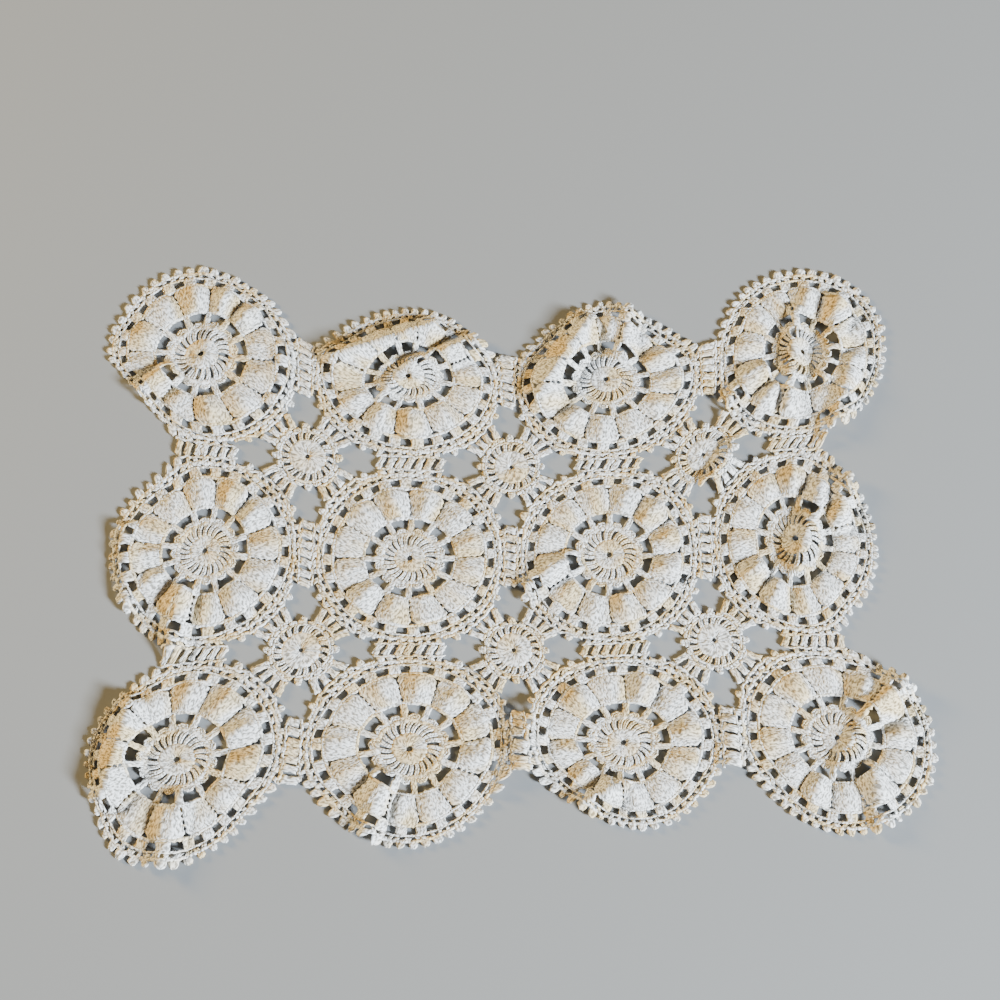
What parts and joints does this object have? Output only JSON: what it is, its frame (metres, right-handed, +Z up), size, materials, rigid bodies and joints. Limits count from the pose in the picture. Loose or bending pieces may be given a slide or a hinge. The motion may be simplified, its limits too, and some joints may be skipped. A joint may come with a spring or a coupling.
{
  "type": "lace doily",
  "caption": "Rectangular crochet lace doily of round petalled wheels joined edge to edge, with small rosettes between them, lying flat with ruffled petals and soft folds.",
  "frame": {"origin": "centre of the doily's bounding box, on the table it lies on", "axes": "+X along the rows of four wheels, +Y towards the back row, +Z up through the cloth"},
  "size_m": [0.4084, 0.3154, 0.0097],
  "materials": {
    "wheel_cotton": "matt unbleached cotton crochet",
    "rosette_cotton": "matt unbleached cotton crochet"
  },
  "bodies": {
    "root": {"wheel_0_0": "wheel_cotton", "wheel_0_1": "wheel_cotton", "wheel_0_2": "wheel_cotton", "wheel_0_3": "wheel_cotton", "wheel_1_0": "wheel_cotton", "wheel_1_1": "wheel_cotton", "wheel_1_2": "wheel_cotton", "wheel_1_3": "wheel_cotton", "wheel_2_0": "wheel_cotton", "wheel_2_1": "wheel_cotton", "wheel_2_2": "wheel_cotton", "wheel_2_3": "wheel_cotton", "rosette_0_0": "rosette_cotton", "rosette_0_1": "rosette_cotton", "rosette_0_2": "rosette_cotton", "rosette_1_0": "rosette_cotton", "rosette_1_1": "rosette_cotton", "rosette_1_2": "rosette_cotton"}
  },
  "joints": []
}
